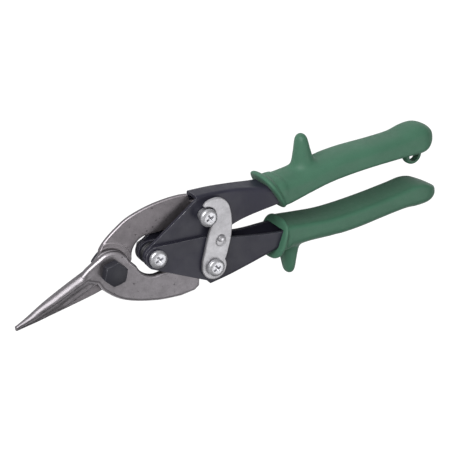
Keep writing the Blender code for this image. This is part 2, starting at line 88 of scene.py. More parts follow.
# Fasteners: sizes across flats, radii, heights, bores and thread pitches
BOLT_FLATS = 11.1
BOLT_HEAD = 5.0
BOLT_RADIUS = 3.15
BOLT_PITCH = 1.27
BOLT_BORE = 3.45
LOOSE_BORE = 3.8
DOG_POINT = 2.0
PIN_FLATS = 8.0
PIN_RADIUS = 2.5
PIN_PITCH = 0.8
PIN_BORE = 2.8
PIN_HEAD = 4.75
PIN_HEAD_TALL = 2.8
NUT_TALL = 4.0

bolt_low, bolt_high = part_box("jaw_bolt")
ORIGIN = Vector(
    ((bolt_low[0] + bolt_high[0]) / 2, (bolt_low[1] + bolt_high[1]) / 2, bolt_low[2] + REST_DEPTH * MM)
)


# Outlines


def arc(centre, radius, start, end, steps):
    """Points on a circle from the start angle to the end angle, in degrees."""
    angles = [math.radians(start + (end - start) * i / steps) for i in range(steps + 1)]
    return [(centre[0] + radius * math.cos(a), centre[1] + radius * math.sin(a)) for a in angles]


def smooth_curve(points, steps):
    """A Catmull-Rom curve through the points, with steps pieces between each pair."""
    ends = [points[0], *points, points[-1]]
    curve = []
    for i in range(1, len(ends) - 2):
        p0, p1, p2, p3 = (Vector(ends[i + k]) for k in (-1, 0, 1, 2))
        for s in range(steps):
            t = s / steps
            low_terms = 2 * p1 + (p2 - p0) * t + (2 * p0 - 5 * p1 + 4 * p2 - p3) * t * t
            curve.append(tuple((low_terms + (3 * p1 - p0 - 3 * p2 + p3) * t**3) / 2))
    curve.append(tuple(points[-1]))
    return curve


def at(table, x):
    """The value at x of a table of (x, value) pairs, eased between them."""
    if x <= table[0][0]:
        return table[0][1]
    for (x0, v0), (x1, v1) in zip(table, table[1:]):
        if x <= x1:
            t = (x - x0) / (x1 - x0)
            return v0 + (v1 - v0) * t * t * (3 - 2 * t)
    return table[-1][1]


# Mesh making


def solid(bm):
    """A mesh of the closed body in bm, with its faces turned outwards."""
    bmesh.ops.remove_doubles(bm, verts=bm.verts, dist=1e-5)
    bmesh.ops.recalc_face_normals(bm, faces=bm.faces)
    if bm.calc_volume(signed=True) < 0:
        bmesh.ops.reverse_faces(bm, faces=bm.faces)
    mesh = bpy.data.meshes.new("shape")
    bm.to_mesh(mesh)
    bm.free()
    return mesh


def loft(rings):
    """A solid skinned through rings of equally many points, with both ends capped."""
    bm = bmesh.new()
    made = [[bm.verts.new(p) for p in ring] for ring in rings]
    count = len(made[0])
    for low, high in zip(made, made[1:]):
        for i in range(count):
            j = (i + 1) % count
            bm.faces.new((low[i], low[j], high[j], high[i]))
    bm.faces.new(made[0])
    bm.faces.new(made[-1])
    return solid(bm)


def prism(outline, low, high):
    return loft([[(x, y, z) for x, y in outline] for z in (low, high)])


def plate(outline, low, high, top_edge, low_edge, clamp=False):
    """A prism with rounded rims, which may cross themselves on tight corners if they are not clamped."""
    rounding = {"segments": 4, "profile": 0.5, "affect": "EDGES", "clamp_overlap": clamp}
    bm = bmesh.new()
    face = bm.faces.new([bm.verts.new((x, y, low)) for x, y in outline])
    pushed = bmesh.ops.extrude_face_region(bm, geom=[face])
    top = [v for v in pushed["geom"] if isinstance(v, bmesh.types.BMVert)]
    bmesh.ops.translate(bm, verts=top, vec=(0, 0, high - low))
    for level, size in ((high, top_edge), (low, low_edge)):
        rims = [e for e in bm.edges if all(abs(v.co.z - level) < 1e-4 for v in e.verts)]
        bmesh.ops.bevel(bm, geom=rims, offset=size, **rounding)
    return solid(bm)


def turned(profile, place=(0.0, 0.0), segments=64):
    """A turned solid from (radius, z) points that end on the axis, or close up round a bore."""
    bm = bmesh.new()
    rings = []
    for radius, z in profile:
        if radius == 0:
            rings.append([bm.verts.new((place[0], place[1], z))] * segments)
            continue
        turn = arc(place, radius, 0, 360, segments)[:-1]
        rings.append([bm.verts.new((x, y, z)) for x, y in turn])
    closed = profile[0][0] > 0
    pairs = list(zip(rings, rings[1:] + rings[:1])) if closed else list(zip(rings, rings[1:]))
    for low, high in pairs:
        for i in range(segments):
            j = (i + 1) % segments
            bm.faces.new(list(dict.fromkeys((low[i], low[j], high[j], high[i]))))
    return solid(bm)


def rod(radius, low, high, place, segments=64):
    return turned([(0, low), (radius, low), (radius, high), (0, high)], place, segments)


def worked(mesh, *modifiers):
    """The mesh as it comes out of the modifiers, each a (type, settings) pair."""
    body = bpy.data.objects.new("body", mesh)
    bpy.context.scene.collection.objects.link(body)
    for kind, settings in modifiers:
        modifier = body.modifiers.new("step", kind)
        for name, value in settings.items():
            setattr(modifier, name, value)
    made = bpy.data.meshes.new_from_object(body.evaluated_get(bpy.context.evaluated_depsgraph_get()))
    bpy.data.objects.remove(body, do_unlink=True)
    return made


def combined(operation, mesh, *others, solver="EXACT"):
    """The union, difference or intersection of a mesh with others, as a new mesh."""
    tools = []
    for other in others:
        tool = bpy.data.objects.new("tool", other)
        bpy.context.scene.collection.objects.link(tool)
        tools.append(tool)
    steps = [("BOOLEAN", {"operation": operation, "solver": solver, "object": tool}) for tool in tools]
    made = worked(mesh, *steps)
    for tool in tools:
        bpy.data.objects.remove(tool, do_unlink=True)
    return made


def remeshed(mesh, voxel):
    return worked(mesh, ("REMESH", {"mode": "VOXEL", "voxel_size": voxel}))


def relaxed(mesh, passes, weight):
    """Smooths the mesh: each point moves towards its neighbours' middle, by weight(x, y, z) from 0 to 1."""
    count = len(mesh.vertices)
    points = np.empty(count * 3, np.float32)
    mesh.vertices.foreach_get("co", points)
    points = points.reshape(-1, 3).astype(np.float64)
    edges = np.empty(len(mesh.edges) * 2, np.int32)
    mesh.edges.foreach_get("vertices", edges)
    edges = edges.reshape(-1, 2)
    ends = np.concatenate([edges[:, 0], edges[:, 1]])
    others = np.concatenate([edges[:, 1], edges[:, 0]])
    degree = np.maximum(np.bincount(ends, minlength=count), 1)
    pull = np.clip(weight(*points.T), 0.0, 1.0)[:, None]
    for _ in range(passes):
        middle = np.stack([np.bincount(ends, points[others, k], count) / degree for k in range(3)], axis=1)
        points += pull * 0.6 * (middle - points)
    mesh.vertices.foreach_set("co", points.astype(np.float32).ravel())
    mesh.update()
    return mesh


def piece(name, mesh, body, finish, slot, *nodes, crease=35):
    """The named piece made from a mesh in tool millimetres, riding on its body in place of its nodes."""
    mesh.name = name
    mesh.transform(Matrix.Translation(ORIGIN) @ Matrix.Scale(MM, 4))
    mesh.materials.clear()
    mesh.materials.append(finish)
    mesh.shade_smooth()
    mesh.set_sharp_from_angle(angle=math.radians(crease))
    obj = bpy.data.objects.new(name, mesh)
    bpy.context.scene.collection.objects.link(obj)
    if body:
        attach(obj, body)
    if nodes:
        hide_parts(*nodes)
    return obj


# Blades

VOXEL = 0.2


def near_outline():
    """The near blade's plate, round by its jaw root, boss, throat, tang and outer curve."""
    outer = [(33.8, -27.0), (22.4, -25.2), (11.4, -21.8), (3.6, -18.2), (-2.0, -14.0), (-7.2, -8.2)]
    outline = [(-8.9, -4.2), (-12.0, -2.6), (-15.2, -0.9), (-17.0, 0.8), (-16.0, 2.6)]
    outline += [(-12.6, 5.0), (-8.6, 7.0)]
    outline += arc(JAW, BOSS, 122, 14, 22)
    outline += arc(HANDLE, THROAT, 193, 262, 16)
    outline += arc(LOWER_TANG, TANG_EYE, 125, -90, 20)
    outline += [(46.6, -20.8), (45.6, -21.4), (45.0, -24.8), (42.0, -26.6)]
    return outline + smooth_curve(outer, 6)


def far_outline():
    """The far blade's plate, with its neck running under the near blade to its own jaw."""
    outer = [(44.3, 25.6), (38.0, 25.9), (30.4, 25.6), (23.6, 24.7), (17.3, 23.3)]
    outer += [(12.6, 21.7), (8.0, 19.2), (3.6, 16.5), (-0.6, 13.3), (-3.1, 10.6)]
    outline = smooth_curve([(-3.1, 10.6), (-4.9, 5.6), (-8.6, 0.0), (-14.5, -2.9)], 5)[1:]
    outline += [(-14.5, -5.6), (-9.7, -7.9), (-5.6, -8.7)]
    outline += arc(JAW, BOSS, -116, -22, 20)
    outline += arc(HANDLE, THROAT, 178, 98, 18)
    outline += arc(UPPER_TANG, TANG_EYE, -125, 90, 20)
    outline += [(49.8, 20.8), (48.8, 21.4), (48.2, 24.9)]
    return outline + smooth_curve(outer, 6)


# Jaw section from the spine to the cutting edge: how far down it each point is, and how high
JAW_SECTION = [(0.0, 0.28), (0.01, 0.50), (0.06, 0.70), (0.13, 0.86), (0.21, 0.97), (0.28, 1.0)]
JAW_SECTION += [(0.36, 0.94), (0.44, 0.81), (0.52, 0.67), (0.60, 0.57), (0.69, 0.52), (0.80, 0.50)]
JAW_SECTION += [(0.92, 0.47), (1.0, 0.37)]
JAW_SPINE = [(-6.5, 5.2), (-13.6, 3.5), (-25.1, -0.8), (-36.6, -5.6), (-46.0, -10.3), (TIP_X, -13.2)]
NEAR_EDGE = [(-8.5, -5.2), (-13.3, -7.5), (-21.1, -10.1), (-28.4, -12.4), (-40.0, -14.4), (TIP_X, -15.9)]
FAR_EDGE = [(-6.1, 1.0), (-13.0, -2.2), (-21.0, -6.0), (-30.0, -9.4), (-40.0, -12.0), (TIP_X, -13.6)]
FAR_SPINE = [(-3.0, -9.6), (-9.0, -11.1), (-20.0, -12.7), (-32.0, -14.2), (-42.0, -15.3), (TIP_X, -16.2)]
JAW_DEPTH = [(TIP_X, 1.9), (-40.0, 3.4), (-28.0, 4.7), (-15.0, 4.9), (-6.0, 4.4)]

# The far blade's raised land, turned round the jaw pivot, and the web that carries its neck
LAND_STEP = [(0, -1.8), (13.2, -1.8), (13.2, -0.6), (12.9, -0.4), (11.3, -0.4), (11.1, -0.15), (0, -0.15)]
LAND_SHRINK = 0.97
NECK_WEB = [(-16, -10.5), (-4, -9.2), (8, -4), (8, 4), (-4, 6.0), (-13, -2.8)]


def jaw(spine, edge, side, stations):
    """A jaw lofted along its spine and cutting edge, above the shear plane or below it by side."""
    rings = []
    for top, low in zip(smooth_curve(spine, stations), smooth_curve(edge, stations)):
        depth = at(JAW_DEPTH, (top[0] + low[0]) / 2)
        ring = [(low[0], low[1], side * SHEAR_GAP), (top[0], top[1], side * SHEAR_GAP)]
        for down, high in smooth_curve(JAW_SECTION, 3):
            x = top[0] + (low[0] - top[0]) * down
            y = top[1] + (low[1] - top[1]) * down
            ring.append((x, y, side * (SHEAR_GAP + depth * high)))
        rings.append(ring)
    return loft(rings)


def root_weight(x, y, z):
    """Smoothing: strongest where the jaw grows out of the plate, strong on the jaw, slight on the plate."""
    root = np.clip(1.0 - np.abs(x + 14.0) / 7.5, 0.0, 1.0)
    jaw_share = np.clip((-14.0 - x) / 4.0, 0.0, 1.0)
    top = np.clip((np.abs(z) - 0.5) / 0.6, 0.0, 1.0)
    return 0.14 + 0.16 * jaw_share + (0.4 * jaw_share + 0.8 * np.minimum(root * 1.6, 1.0)) * top


def near_blade():
    body = plate(near_outline(), LAND, BLADE_TOP, 1.7, 0.25)
    land = rod(BOSS + 0.3, SHEAR_GAP, LAND + 1, JAW)
    made = combined("UNION", body, jaw(JAW_SPINE, NEAR_EDGE, 1, 20), land)
    made = relaxed(remeshed(made, VOXEL), 30, root_weight)
    bores = [rod(BOLT_BORE, -2, 8, JAW), rod(PIN_BORE, -2, 8, LOWER_TANG)]
    return combined("DIFFERENCE", made, *bores, solver="MANIFOLD")


def far_blade():
    body = plate(far_outline(), -BLADE_TOP, -LAND, 0.9, 2.4)
    inside = [(x * LAND_SHRINK, y * LAND_SHRINK) for x, y in far_outline()]
    land = combined("INTERSECT", turned(LAND_STEP), prism(inside, -LAND - 2, 1))
    web = prism(NECK_WEB, -BLADE_TOP, -LAND)
    made = combined("UNION", body, jaw(FAR_SPINE, FAR_EDGE, -1, 20), land, web)
    made = relaxed(remeshed(made, VOXEL), 24, root_weight)
    bores = [rod(LOOSE_BORE, -8, 2, JAW), rod(PIN_BORE, -8, 2, UPPER_TANG)]
    return combined("DIFFERENCE", made, *bores, solver="MANIFOLD")


# Handles

FLARE_START = 69.0
FLARE_END = 97.0
HALF_WIDTH = 9.2
BACK_EDGE = [(50.4, 24.9), (62.0, 23.8), (75.0, 21.7), (89.0, 18.9), (100.0, 18.2), (112.0, 18.8)]
BACK_EDGE += [(126.0, 20.4), (142.0, 21.2), (160.0, 20.6), (175.0, 20.2), (CHANNEL_END, 20.2)]
OPEN_EDGE = [(CHANNEL_END, 12.4), (175.0, 11.9), (160.0, 12.4), (142.0, 12.8), (128.0, 12.2)]
OPEN_EDGE += [(112.0, 10.2), (96.0, 8.6), (80.0, 6.0), (66.0, 2.6), (50.0, -2.9)]
NEAR_WALL = [(FLARE_START, INNER_WALL + SHEET), (FLARE_END, HALF_WIDTH), (CHANNEL_END, 8.2)]
FAR_WALL = [(FLARE_START, -OUTER_WALL - SHEET), (FLARE_END, -HALF_WIDTH), (CHANNEL_END, -8.2)]
CORNERS = [(FLARE_START, 1.8), (FLARE_END, 3.4)]


def channel_profile():
    """The handle's side outline: its open edge, the ear round the handle pivot and the back."""
    outline = smooth_curve(OPEN_EDGE, 6)
    outline += arc(HANDLE, EAR, -84, -232, 30)
    outline += [(50.2, 22.9), BACK_EDGE[0]]
    return outline + smooth_curve(BACK_EDGE, 6)[1:]


def corner_ring(top, high, low, radius, steps):
    """The two rounded corners between a channel's walls and its back, as (y, z) points."""
    near = [(top - radius + b, high - radius + a) for a, b in arc((0, 0), radius, 0, 90, steps)]
    far = [(top - radius + b, low + radius + a) for a, b in arc((0, 0), radius, 90, 180, steps)]
    return near + far


def channel_hull(inset, overrun):
    """The outer body of the channel, or its hollow when inset by the sheet's thickness."""
    rings = []
    stations = [(HANDLE[0] - 10.0, 24.9), *smooth_curve(BACK_EDGE, 6), (CHANNEL_END + overrun, 20.2)]
    for x, back in stations:
        radius = max(at(CORNERS, x) - inset, 0.3)
        high = at(NEAR_WALL, x) - inset
        low = at(FAR_WALL, x) + inset
        ring = [(-12.0 - inset, low), (-12.0 - inset, high)]
        ring += corner_ring(back - inset, high, low, radius, 7)
        rings.append([(x, y, z) for y, z in ring])
    return loft(rings)


def channel():
    shell = combined("DIFFERENCE", channel_hull(0.0, 1.0), channel_hull(SHEET, 2.0))
    cut = combined("INTERSECT", shell, prism(channel_profile(), -20, 20))
    bores = [rod(PIN_BORE, -20, 20, HANDLE, 48), rod(PIN_BORE, -20, 20, UPPER_TANG, 48)]
    return combined("DIFFERENCE", cut, *bores)


def turned_over(mesh):
    mesh.transform(Matrix.Rotation(math.pi, 4, "X"))
    return mesh


# Grips

GRIP_X = (93.0, 100.0, 112.0, 126.0, 142.0, 160.0, 175.0, 183.0, 189.0, 193.0, 196.5, 198.5, GRIP_END_X)
GRIP_SIDE = (11.6, 11.5, 11.4, 11.2, 11.0, 10.7, 10.4, 10.3, 10.0, 9.0, 6.9, 4.2, 1.4)
# Back and inner edge of each grip at the places in GRIP_X: a round end, and one with its inner corner cut
ROUND_END = (
    (20.9, 20.7, 21.3, 22.9, 23.6, 22.9, 22.9, 24.5, 24.9, 23.9, 21.4, 18.6, 17.0),
    (6.0, 6.4, 8.2, 10.2, 10.8, 10.4, 9.6, 9.0, 8.8, 9.6, 11.8, 14.3, 15.9),
)
CUT_END = (
    (20.9, 20.7, 21.3, 22.9, 23.6, 22.9, 22.7, 23.8, 24.0, 23.5, 22.2, 20.8, 20.0),
    (6.0, 6.4, 8.2, 10.3, 10.9, 10.5, 9.7, 9.1, 10.2, 12.2, 14.2, 15.6, 16.4),
)
GRIP_LEAN = 0.45
LEAN_LENGTH = 18.0
SKIN_GAP = 0.12
FLANGE_MIDDLE = 13.9
FLANGE_REACH = 10.4
GUARD_ROOT = 15.0
LOOP_PLACE = (186.8, 6.6)
LOOP_HOLE_PLACE = (186.8, 5.6)
LOOP_HOLE = 3.1
GRIP_VOXEL = 0.42


def grip_ring(centre, size, back_power, inner_power, count):
    """A ring of (y, z) points, rounder at the back than on the inner side."""
    ring = []
    for i in range(count):
        angle = 2 * math.pi * (i + 0.5) / count
        c, s = math.cos(angle), math.sin(angle)
        power = back_power if c > 0 else inner_power
        y = centre + size[0] * math.copysign(abs(c) ** (2 / power), c)
        ring.append((y, size[1] * math.copysign(abs(s) ** (2 / power), s)))
    return ring


def leaned(x, y, middle):
    """x moved so that the front of the grip leans, which fades out along the grip."""
    fade = max(0.0, 1.0 - (x - GRIP_X[0]) / LEAN_LENGTH)
    return x - GRIP_LEAN * (y - middle) * fade


def grip_body(end):
    rings = []
    lines = [smooth_curve(list(zip(GRIP_X, values)), 8) for values in (*end, GRIP_SIDE)]
    for (x, back), (_, inner), (_, side) in zip(*lines):
        middle = (back + inner) / 2
        ring = grip_ring(middle, ((back - inner) / 2, side), 2.5, 9.0, 96)
        rings.append([(leaned(x, y, middle), y, z) for y, z in ring])
    return loft(rings)


def flange():
    """The rolled stop at the front of the grip, with a faint second ridge behind it."""
    rings = []
    lip = [(92.2, 0.84), (92.4, 0.92), (92.9, 0.98), (93.6, 1.0), (94.4, 0.98), (95.0, 0.92), (95.4, 0.86)]
    ridge = [(96.3, 0.86), (97.4, 0.885), (98.4, 0.89), (99.6, 0.87), (100.6, 0.84)]
    for x, grow in lip + ridge:
        tall = FLANGE_REACH * min(grow, 0.70 if x > 96 else 1.0)
        ring = grip_ring(FLANGE_MIDDLE, (tall, REST_DEPTH * grow), 2.6, 2.8, 72)
        rings.append([(leaned(x, y, FLANGE_MIDDLE), y, z) for y, z in ring])
    return loft(rings)


def grip_hollow():
    """The space for the channel inside a grip, a skin's gap larger than the channel."""
    rings = []
    inners = list(reversed(smooth_curve(OPEN_EDGE, 6)))
    for x, back in [(74.0, 22.0), *smooth_curve(BACK_EDGE, 6)[18:], (CHANNEL_END + 0.5, 20.2)]:
        inner = min(inners, key=lambda p: abs(p[0] - x))[1] if x > 80 else 5.0
        high = at(NEAR_WALL, x) + SKIN_GAP
        low = at(FAR_WALL, x) - SKIN_GAP
        ring = [(inner - 0.6, low), (inner - 0.6, high)]
        ring += corner_ring(back + SKIN_GAP, high, low, at(CORNERS, x), 7)
        rings.append([(x, y, z) for y, z in ring])
    return loft(rings)


def guard(tip, base, base_length):
    """The thumb guard, by its height, length and depth from the root to the tip."""
    rings = []
    steps = [(0.0, 0.92, 7.6), (0.25, 0.84, 6.8), (0.45, 0.68, 5.9), (0.62, 0.53, 5.2), (0.8, 0.44, 4.5)]
    steps += [(0.9, 0.38, 3.8), (0.965, 0.26, 2.7), (1.0, 0.09, 1.0)]
    for up, length, depth in steps:
        x = base + (tip[0] - base) * min(1.0, up * 1.15)
        y = GUARD_ROOT + (abs(tip[1]) - GUARD_ROOT) * up
        ring = arc((0, 0), 1.0, 0, 360, 40)[:-1]
        rings.append([(x + a * base_length * length, y, b * depth) for a, b in ring])
    return loft(rings)


def fillet_weight(x, y, z):
    """Smoothing that is strong only round the root of the guard."""
    return 0.08 + 0.92 * np.clip(1.6 - np.abs(y - 22.0) / 4.5, 0.0, 1.0) * (x > 99.0) * (x < 130.0)


def skin_weight(x, y, z):
    """Slight smoothing, stronger towards the end of the grip."""
    return 0.14 + 0.6 * np.clip((x - 190.0) / 5.0, 0.0, 1.0)


def grip(tip, base, base_length, end, with_loop):
    """A whole grip as it lies on the upper handle, hollow for its channel."""
    body = combined("UNION", grip_body(end), guard(tip, base, base_length))
    body = relaxed(remeshed(body, 1.8 * GRIP_VOXEL), 34, fillet_weight)
    parts = [flange()]
    if with_loop:
        disc = [(0, -2.2), (5.2, -2.2), (6.0, -1.2), (6.0, 1.2), (5.2, 2.2), (0, 2.2)]
        parts.append(turned(disc, LOOP_PLACE))
    made = combined("UNION", body, *parts, solver="MANIFOLD")
    made = relaxed(remeshed(made, GRIP_VOXEL), 14, skin_weight)
    cuts = [grip_hollow()]
    if with_loop:
        cuts.append(rod(LOOP_HOLE, -9, 9, LOOP_HOLE_PLACE))
    return combined("DIFFERENCE", made, *cuts, solver="MANIFOLD")


# Fasteners


def hex_solid(flats, turn, low, high, centre, both):
    """A hexagonal prism with its corners turned off at the top, or at both ends."""
    reach = flats / math.sqrt(3) + 0.02
    flat = flats / 2 - 0.25
    drop = (reach - flat) * 0.5
    bottom = [(0, low), (flat, low), (reach, low + drop)] if both else [(0, low), (reach, low)]
    bar = turned(bottom + [(reach, high - drop), (flat, high), (0, high)], centre, 96)
    return combined("INTERSECT", prism(arc(centre, reach, turn, turn + 360, 6)[:-1], low, high), bar)


def threaded(radius, pitch, low, high, centre):
    """A screw thread on a rod, with a chamfered lower end."""
    sides, per_turn, depth = 40, 8, 0.3 * pitch
    rings = []
    steps = int((high - low) / pitch * per_turn)
    for j in range(steps + 1):
        z = low + (high - low) * j / steps
        ring = []
        for i in range(sides):
            turn = i / sides
            phase = (z / pitch - turn) % 1.0
            cut = depth * (1.0 - abs(2.0 * phase - 1.0))
            r = min(radius - cut, radius - 0.7 + (z - low))
            angle = 2 * math.pi * turn
            ring.append((centre[0] + r * math.cos(angle), centre[1] + r * math.sin(angle), z))
        rings.append(ring)
    return loft(rings)


def jaw_bolt():
    """The hex bolt with its plain shank, its thread and the narrow dog point that it ends in."""
    head = hex_solid(BOLT_FLATS, 69.0, OUTER_WALL, OUTER_WALL + BOLT_HEAD, JAW, False)
    shank = rod(BOLT_RADIUS, -4.6, OUTER_WALL + 1, JAW)
    thread = threaded(BOLT_RADIUS, BOLT_PITCH, -11.0, -4.4, JAW)
    point = [(0, -REST_DEPTH), (DOG_POINT - 0.3, -REST_DEPTH), (DOG_POINT, 0.3 - REST_DEPTH)]
    point += [(DOG_POINT, -10.0), (0, -10.0)]
    return combined("UNION", head, shank, thread, turned(point))


def nut(flats, turn, low, high, centre, bore):
    blank = hex_solid(flats, turn, low, high, centre, True)
    return combined("DIFFERENCE", blank, rod(bore, low - 1, high + 1, centre))


def cross_recess(centre, top):
    """The two tapering wings that cut a cross recess into a screw's head."""
    wings = []
    for quarter in (0, math.pi / 2):
        rings = []
        for z, long, wide in [(top - 1.8, 0.6, 0.3), (top - 0.5, 1.9, 0.48), (top + 0.3, 2.5, 0.62)]:
            corners = [(-long, -wide), (long, -wide), (long, wide), (-long, wide)]
            spun = [Matrix.Rotation(math.radians(18) + quarter, 2) @ Vector(c) for c in corners]
            rings.append([(centre[0] + p.x, centre[1] + p.y, z) for p in spun])
        wings.append(loft(rings))
    return wings


def pan_screw(centre, seat, end):
    """A screw whose pan head is a squared-off dome with a cross recess."""
    rim = seat + 1.0
    crown_tall = PIN_HEAD_TALL - 1.0
    turns = [math.radians(7.5 * i) for i in range(12)]
    crown = [(PIN_HEAD * math.cos(a) ** 0.7, rim + crown_tall * math.sin(a) ** 0.7) for a in turns]
    profile = [(0, end + 3), (PIN_RADIUS, end + 3), (PIN_RADIUS, seat), (PIN_HEAD - 0.35, seat)]
    profile += [(PIN_HEAD - 0.1, seat + 0.15), (PIN_HEAD, seat + 0.45)]
    profile += [*crown, (0, seat + PIN_HEAD_TALL)]
    thread = threaded(PIN_RADIUS, PIN_PITCH, end, end + 3.2, centre)
    screw = combined("UNION", turned(profile, centre, 72), thread)
    return combined("DIFFERENCE", screw, *cross_recess(centre, seat + PIN_HEAD_TALL))


# Latch

LATCH_EYE = 7.0
HOOK_MOUTH = 5.1
DISH_PLACE = (58.2, -1.2)
BOWL_PLACE = (58.6, 0.2)
BOWL = 2.1
BOWL_DEPTH = 1.5
BOWL_RIM = 9.45


def latch():
    """The hooked latch: a flat plate with a thumb dimple, a deep bowl inside a wide shallow dish."""
    hook = [(51.6, 20.4), (53.6, 22.1), (58.2, 22.8), (62.3, 21.6), (65.1, 18.4), (66.2, 13.7)]
    hook += [(66.0, 7.0), (64.6, 0.3), (62.4, -5.6), (59.8, -11.4)]
    outline = arc(LOWER_TANG, LATCH_EYE, 20, -180, 36)
    outline += [(46.6, -9.6), (48.6, -4.6), (50.9, 1.2), (53.2, 6.4)]
    outline += arc(UPPER_TANG, HOOK_MOUTH, -62, 96, 28)
    outline += smooth_curve(hook, 6)
    body = plate(outline, LATCH_BOTTOM, LATCH_TOP, 0.3, 0.3, clamp=True)
    wide = turned([(0, 9.0), (1.8, 9.02), (2.6, 9.2), (3.0, 9.45), (3.05, 9.8), (0, 9.8)], DISH_PLACE)
    turns = [math.radians(a) for a in range(10, 91, 10)]
    bowl = [(BOWL * math.sin(a), BOWL_RIM - BOWL_DEPTH * math.cos(a)) for a in turns]
    deep = turned([(0, BOWL_RIM - BOWL_DEPTH), *bowl, (BOWL, 10.0), (0, 10.0)], BOWL_PLACE)
    made = remeshed(combined("DIFFERENCE", body, wide, deep), VOXEL)
    made = relaxed(made, 8, lambda x, y, z: 0.3 + 0 * x)
    return combined("DIFFERENCE", made, rod(PIN_BORE, 0, 12, LOWER_TANG), solver="MANIFOLD")


# Spring

WIRE = 0.8
COIL = 5.2
COIL_LEVEL = 1.45
COIL_START = 43.0
COIL_SWEEP = 720.0 - 2 * COIL_START
COIL_STEPS = 160
LEG = 33.0
LEG_SLOPE = 47.0


def spring_path():
    """Centre line of the wire: lower leg, nearly two turns round the bush, upper leg."""
    coil = []
    for i in range(COIL_STEPS + 1):
        angle = math.radians(COIL_START + COIL_SWEEP * i / COIL_STEPS)
        z = COIL_LEVEL * (2 * i / COIL_STEPS - 1)
        coil.append(Vector((HANDLE[0] + COIL * math.cos(angle), COIL * math.sin(angle), z)))
    slope = math.radians(LEG_SLOPE)
    reach = Vector((LEG * math.cos(slope), LEG * math.sin(slope), 0))
    low_end = coil[0] + Vector((reach.x, -reach.y, 0))
    high_end = coil[-1] + reach
    low_leg = [low_end.lerp(coil[0], i / 20) for i in range(20)]
    high_leg = [coil[-1].lerp(high_end, (i + 1) / 20) for i in range(20)]
    return low_leg + coil + high_leg


def wire(path, radius, sides):
    """A round wire along the path."""
    rings = []
    for i, point in enumerate(path):
        ahead = path[min(i + 1, len(path) - 1)] - path[max(i - 1, 0)]
        ahead.normalize()
        across = ahead.cross(Vector((0, 0, 1))).normalized()
        up = across.cross(ahead)
        ring = arc((0, 0), radius, 0, 360, sides)[:-1]
        rings.append([tuple(point + across * a + up * b) for a, b in ring])
    return loft(rings)


# Materials


class Look:
    """A node material built round its Principled shader, in the piece's own coordinates."""

    def __init__(self, name, metallic=0.0, specular=0.5):
        self.material = bpy.data.materials.new(name)
        self.material.use_nodes = True
        self.tree = self.material.node_tree
        self.shader = self.tree.nodes["Principled BSDF"]
        self.shader.inputs["Metallic"].default_value = metallic
        self.shader.inputs["Specular IOR Level"].default_value = specular
        self.coords = self.tree.nodes.new("ShaderNodeTexCoord").outputs["Object"]

    def node(self, kind, settings=None, **inputs):
        made = self.tree.nodes.new(kind)
        for name, value in (settings or {}).items():
            setattr(made, name, value)
        for name, value in inputs.items():
            self.put(made.inputs[name.replace("_", " ")], value)
        return made

    def put(self, socket, value):
        if isinstance(value, bpy.types.NodeSocket):
            self.tree.links.new(value, socket)
        else:
            socket.default_value = value

    def noise(self, scale, detail=3.0, stretch=None, rough=0.55):
        """Noise with scale features a metre, from 0 to 1."""
        vector = self.coords
        if stretch:
            vector = self.node("ShaderNodeMapping", Vector=vector, Scale=stretch).outputs["Vector"]
        settings = {"Scale": scale, "Detail": detail, "Roughness": rough}
        made = self.node("ShaderNodeTexNoise", Vector=vector, **settings)
        return made.outputs["Fac"]

    def ranged(self, value, low, high, start, end):
        """value mapped from low..high to start..end, and held there."""
        made = self.node("ShaderNodeMapRange", Value=value)
        for name, number in (("From Min", low), ("From Max", high), ("To Min", start), ("To Max", end)):
            self.put(made.inputs[name], number)
        return made.outputs["Result"]

    def maths(self, operation, a, b):
        made = self.node("ShaderNodeMath", {"operation": operation})
        self.put(made.inputs[0], a)
        self.put(made.inputs[1], b)
        return made.outputs[0]

    def mix(self, factor, a, b):
        made = self.node("ShaderNodeMix", {"data_type": "RGBA"})
        self.put(made.inputs[0], factor)
        self.put(made.inputs[6], a)
        self.put(made.inputs[7], b)
        return made.outputs[2]

    def edges(self, radius):
        """A mask that is 1 on sharp edges, with the rounded normal."""
        rounded = self.node("ShaderNodeBevel", {"samples": 6}, Radius=radius).outputs["Normal"]
        true = self.node("ShaderNodeNewGeometry").outputs["Normal"]
        dot = self.node("ShaderNodeVectorMath", {"operation": "DOT_PRODUCT"})
        self.put(dot.inputs[0], rounded)
        self.put(dot.inputs[1], true)
        return self.ranged(dot.outputs["Value"], 0.99, 0.86, 0.0, 1.0), rounded

    def bump(self, height, strength, distance, normal=None):
        made = self.node("ShaderNodeBump", Height=height, Strength=strength, Distance=distance)
        if normal:
            self.put(made.inputs["Normal"], normal)
        self.put(self.shader.inputs["Normal"], made.outputs["Normal"])

    def set(self, socket, value):
        self.put(self.shader.inputs[socket], value)


def shade(colour, factor):
    return (*[min(c * factor, 1.0) for c in colour], 1.0)


